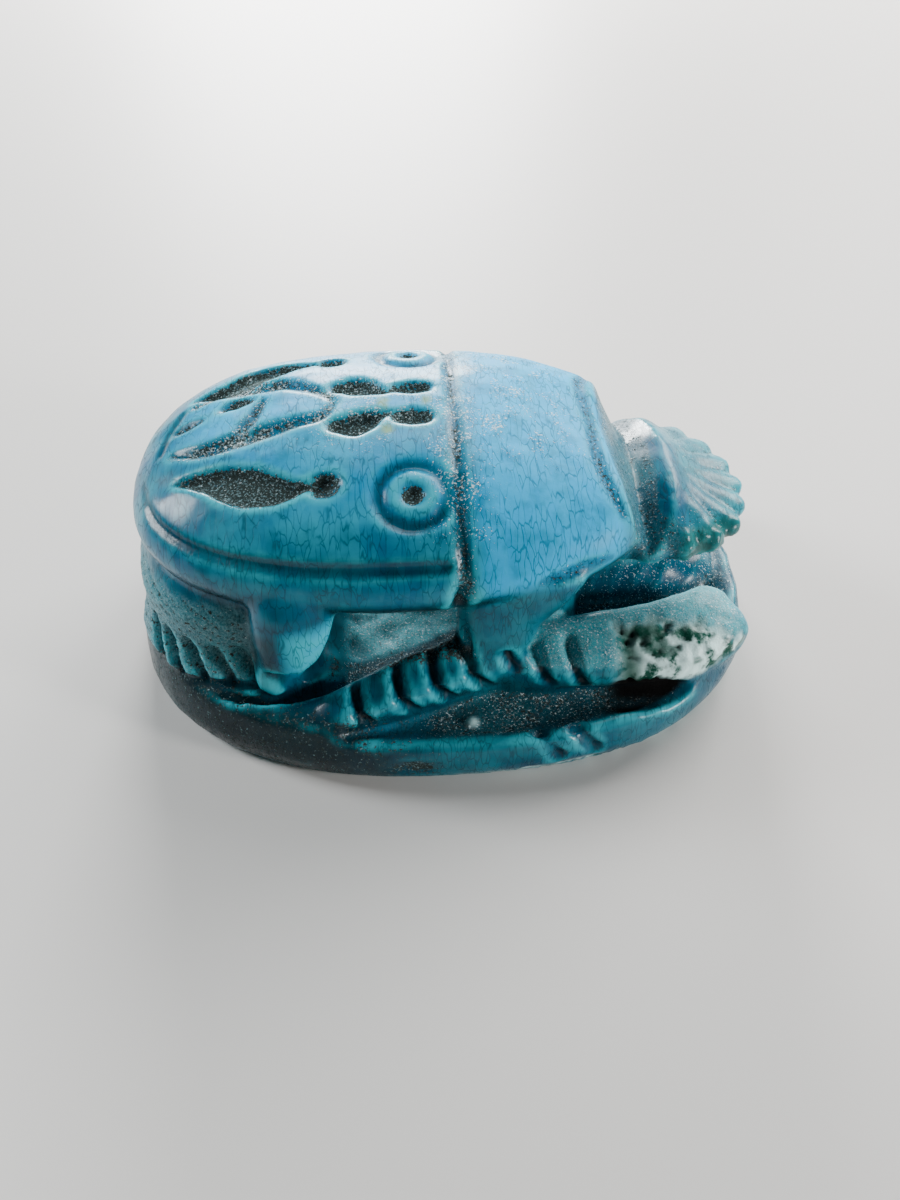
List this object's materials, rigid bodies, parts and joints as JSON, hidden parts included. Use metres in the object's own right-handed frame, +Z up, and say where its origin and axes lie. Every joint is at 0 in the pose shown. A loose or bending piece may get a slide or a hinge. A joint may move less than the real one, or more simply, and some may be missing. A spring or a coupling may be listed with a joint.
{
  "type": "scarab amulet",
  "caption": "Oval scarab amulet in crackled turquoise glaze, its wing cases engraved, on a low plinth with a pierced belly.",
  "frame": {"origin": "centre of the plinth's flat underside, in the plane that it rests on", "axes": "+X towards the beetle's head, along the plinth's length; +Z up, out of the back"},
  "size_m": [0.0598, 0.044, 0.025],
  "materials": {
    "glaze": "glossy, finely crackled"
  },
  "bodies": {
    "root": {"scarab": "glaze"}
  },
  "joints": []
}
